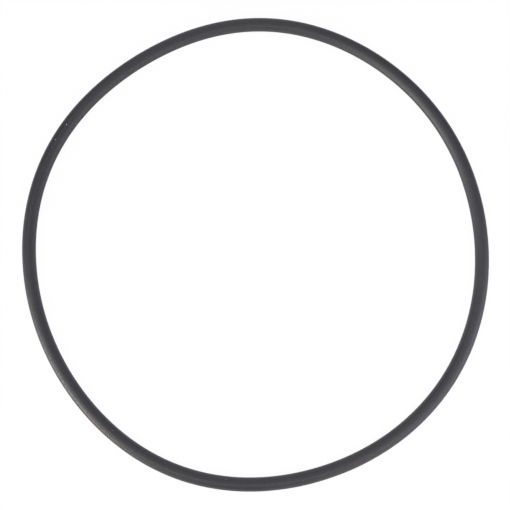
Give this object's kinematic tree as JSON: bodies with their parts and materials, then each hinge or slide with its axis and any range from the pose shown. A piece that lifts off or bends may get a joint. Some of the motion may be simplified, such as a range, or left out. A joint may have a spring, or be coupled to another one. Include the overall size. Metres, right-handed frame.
{
  "type": "o-ring",
  "caption": "Thin moulded rubber o-ring of round section, a closed loop that is squeezed in a groove to seal a joint.",
  "frame": {"origin": "centre of the ring, on the middle plane of its round section", "axes": "+Z along the axis of the ring, up when it lies flat; +X to the right and +Y to the top of the picture"},
  "size_m": [0.121, 0.121, 0.0036],
  "materials": {
    "rubber": "matte"
  },
  "bodies": {
    "root": {"o_ring": "rubber"}
  },
  "joints": []
}
